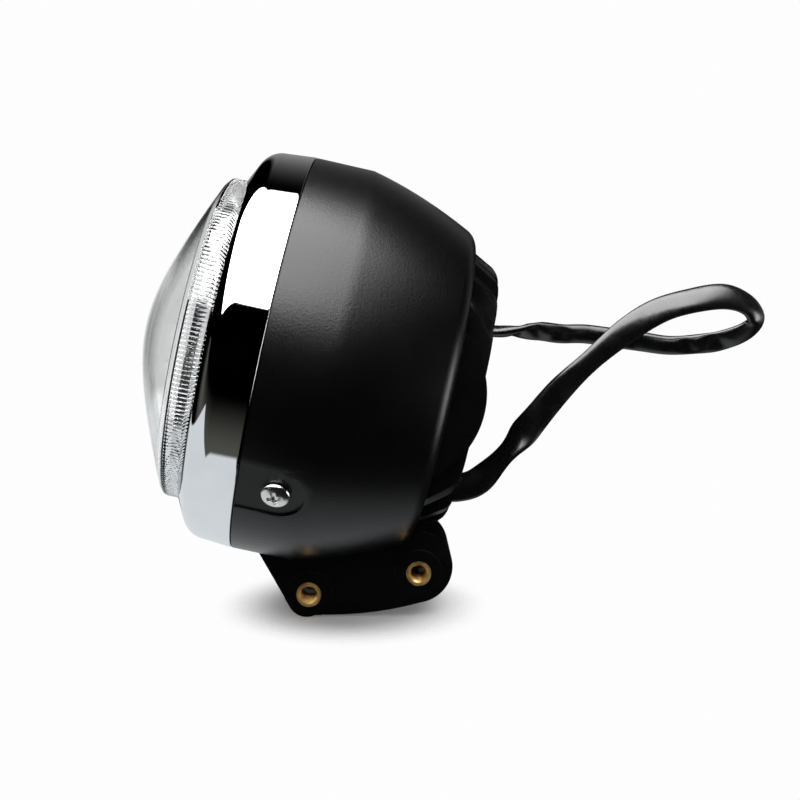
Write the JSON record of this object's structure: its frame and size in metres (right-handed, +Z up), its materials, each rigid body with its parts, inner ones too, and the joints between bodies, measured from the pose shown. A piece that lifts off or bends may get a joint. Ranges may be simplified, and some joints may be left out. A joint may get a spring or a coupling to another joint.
{
  "type": "led headlight",
  "caption": "Round LED motorcycle headlight with domed fluted-rim lens, bright bezel, finned heat sink, looped cable sleeve and a lower lug with two threaded cross holes.",
  "frame": {"origin": "on the axis of the front mounting thread, midway between its two inserts, on the lamp's mid-plane", "axes": "+Z up with the lamp level, the lens faces -X, +Y along both mounting threads"},
  "size_m": [0.2524, 0.165, 0.185],
  "materials": {
    "housing_black": "satin black with a fine orange-peel texture",
    "bezel_chrome": "mirror-bright plating",
    "lens_clear": "clear polished polycarbonate",
    "seal_rubber": "matt",
    "reflector_mirror": "vacuum-metallised, bright",
    "inner_plastic": "matt black",
    "steel": "zinc-plated",
    "bare_aluminium": "as cast",
    "board_white": "white solder mask",
    "chip_yellow": "phosphor",
    "pad_grey": "soft matt",
    "sink_black": "matt black coating on die-cast metal",
    "seal_red": "silicone",
    "board_green": "green solder mask",
    "coil_black": "moulded",
    "grommet_rubber": "matt black",
    "sleeve_black": "glossy soft PVC",
    "screw_bright": "bright stainless",
    "spring_steel": "phosphated",
    "brass": "machined, golden"
  },
  "bodies": {
    "root": {"housing": "housing_black", "mounting_lug": "housing_black", "bezel": "bezel_chrome", "lens": "lens_clear", "lens_seal": "seal_rubber", "trim_ring": "reflector_mirror", "reflector_upper": "reflector_mirror", "reflector_lower": "reflector_mirror", "insert_body": "inner_plastic", "retaining_ring": "steel", "retaining_screws": "steel", "light_bridge": "bare_aluminium", "bridge_cap": "reflector_mirror", "bridge_screws": "steel", "low_beam_board": "board_white", "high_beam_board": "board_white", "low_beam_chips": "chip_yellow", "high_beam_chips": "chip_yellow", "thermal_pad": "pad_grey", "heat_sink": "sink_black", "heat_sink_seal": "seal_red", "heat_sink_screws": "steel", "driver_board": "board_green", "driver_coil": "coil_black", "grommet_upper": "grommet_rubber", "grommet_lower": "grommet_rubber", "cable_sleeve": "sleeve_black", "bezel_screw_near": "screw_bright", "bezel_screw_far": "screw_bright", "clip_nuts": "spring_steel", "insert_front_near": "brass", "insert_front_far": "brass", "insert_rear_near": "brass", "insert_rear_far": "brass"}
  },
  "joints": []
}
